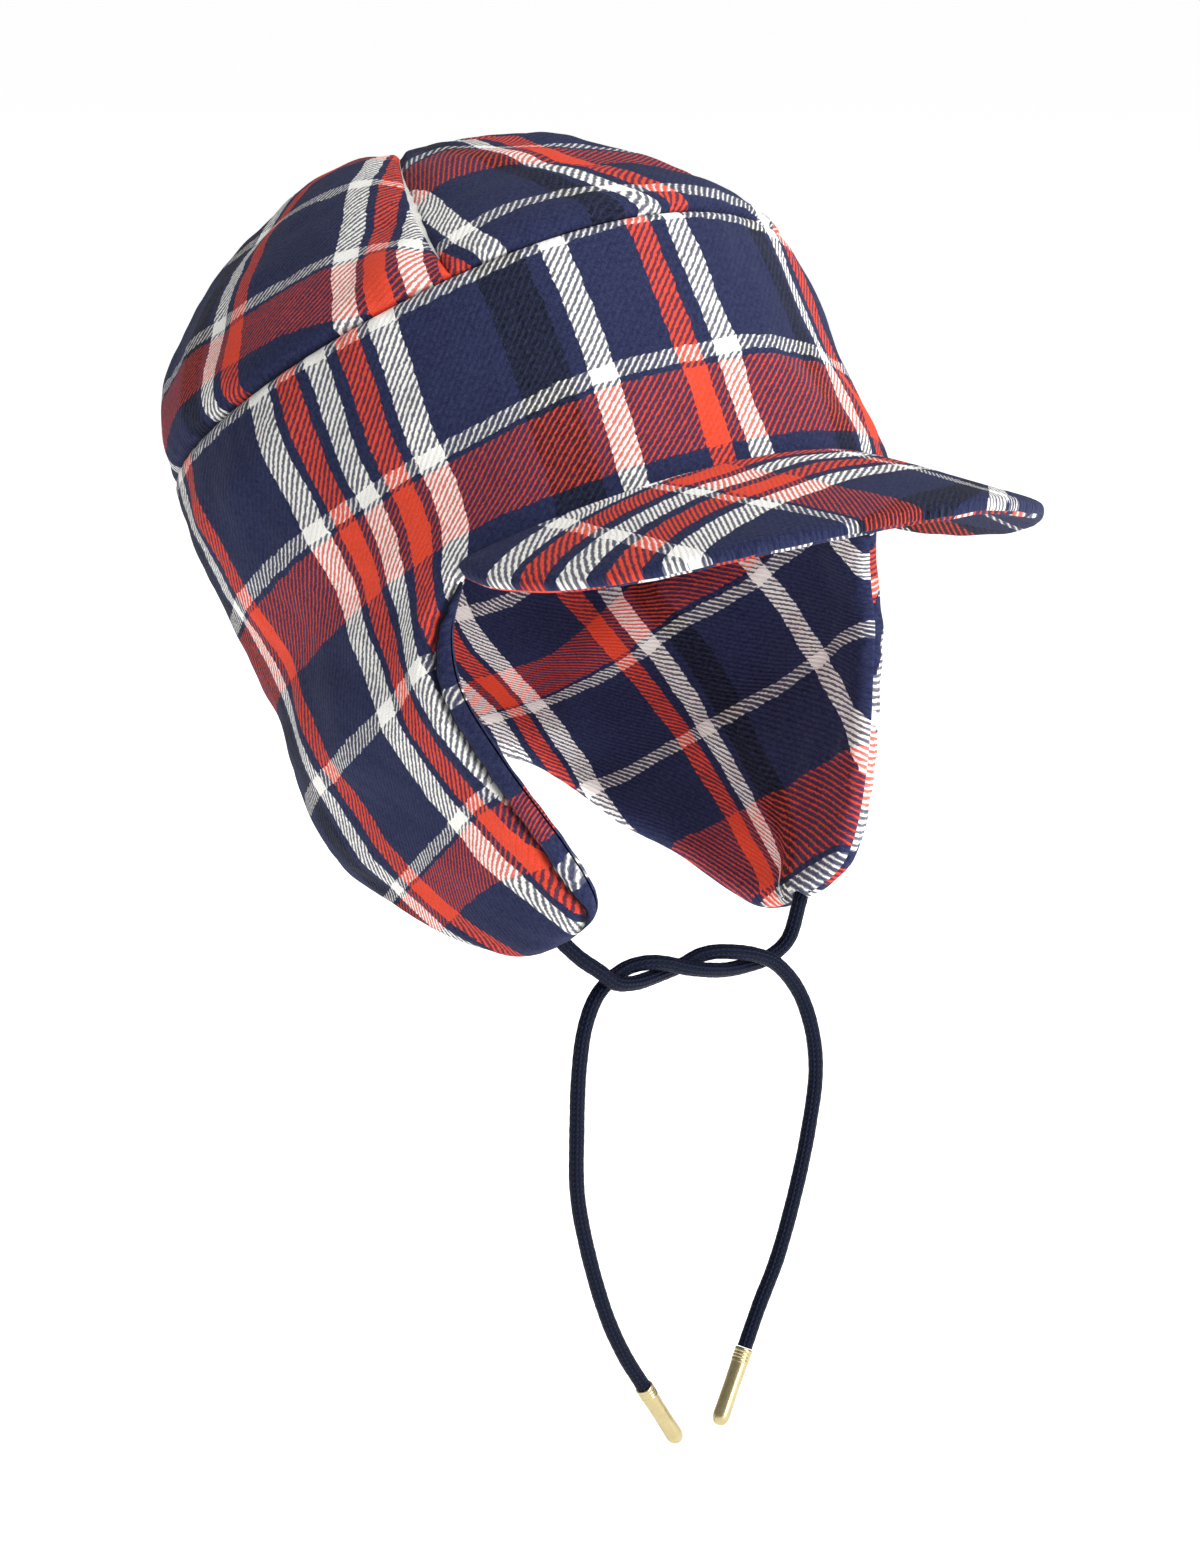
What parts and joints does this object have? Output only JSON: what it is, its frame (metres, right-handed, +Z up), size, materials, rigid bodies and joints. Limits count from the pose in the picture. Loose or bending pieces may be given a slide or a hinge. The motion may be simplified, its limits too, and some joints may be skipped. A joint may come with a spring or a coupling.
{
  "type": "trapper hat",
  "caption": "Padded flannel trapper hat: four-panel crown, tall band, stiffened visor, two fold-up ear flaps and braided tie cords with metal tips.",
  "frame": {"origin": "centre of the head opening, level with the visor seam, where the head carries the hat (mount head)", "axes": "+Z up as worn with the head raised, so the crown axis leans back 28.17 degrees; -Y to the front (visor), +X to the wearer's left"},
  "size_m": [0.1804, 0.2775, 0.3617],
  "materials": {
    "flannel_outer": "brushed twill flannel, tartan check",
    "flannel_lining": "brushed twill flannel, tartan check",
    "wadding": "soft polyester wadding",
    "visor_board": "flexible moulded sheet",
    "cord_braid": "round braided polyester cord",
    "cord_tip_metal": "pale gold, satin",
    "thread": "dense zigzag stitching"
  },
  "bodies": {
    "root": {"crown_front_panel": "flannel_outer", "crown_right_panel": "flannel_outer", "crown_back_panel": "flannel_outer", "crown_left_panel": "flannel_outer", "crown_wadding": "wadding", "crown_lining": "flannel_lining", "band_outer": "flannel_outer", "band_wadding": "wadding", "band_lining": "flannel_lining", "visor_top_cover": "flannel_outer", "visor_board": "visor_board", "visor_under_cover": "flannel_outer"},
    "right_flap": {"right_flap_outer": "flannel_outer", "right_flap_wadding": "wadding", "right_flap_lining": "flannel_lining", "right_cord_bartack": "thread"},
    "right_cord": {"right_cord": "cord_braid", "right_aglet": "cord_tip_metal"},
    "left_flap": {"left_flap_outer": "flannel_outer", "left_flap_wadding": "wadding", "left_flap_lining": "flannel_lining", "left_cord_bartack": "thread"},
    "left_cord": {"left_cord": "cord_braid", "left_aglet": "cord_tip_metal"}
  },
  "joints": [
    {"name": "right_flap_fold", "type": "hinge", "parent": "root", "child": "right_flap", "pos_m": [-0.07917, 0.00735, -0.03951], "axis": [0.2718, 0.6926, -0.6682], "range_deg": [0, 160]},
    {"name": "right_cord_swing", "type": "hinge", "parent": "right_flap", "child": "right_cord", "pos_m": [-0.0437, -0.0445, -0.0848], "axis": [0.2718, 0.6926, -0.6682], "range_deg": [-160, 0], "deforming": ["right_cord"]},
    {"name": "left_flap_fold", "type": "hinge", "parent": "root", "child": "left_flap", "pos_m": [0.07917, 0.00735, -0.03951], "axis": [0.2718, -0.6926, 0.6682], "range_deg": [0, 160]},
    {"name": "left_cord_swing", "type": "hinge", "parent": "left_flap", "child": "left_cord", "pos_m": [0.0437, -0.0445, -0.0848], "axis": [0.2718, -0.6926, 0.6682], "range_deg": [-160, 0], "deforming": ["left_cord"]}
  ],
  "couplings": [
    {"joint": "right_cord_swing", "follows": "right_flap_fold", "ratio": -1},
    {"joint": "left_cord_swing", "follows": "left_flap_fold", "ratio": -1}
  ]
}
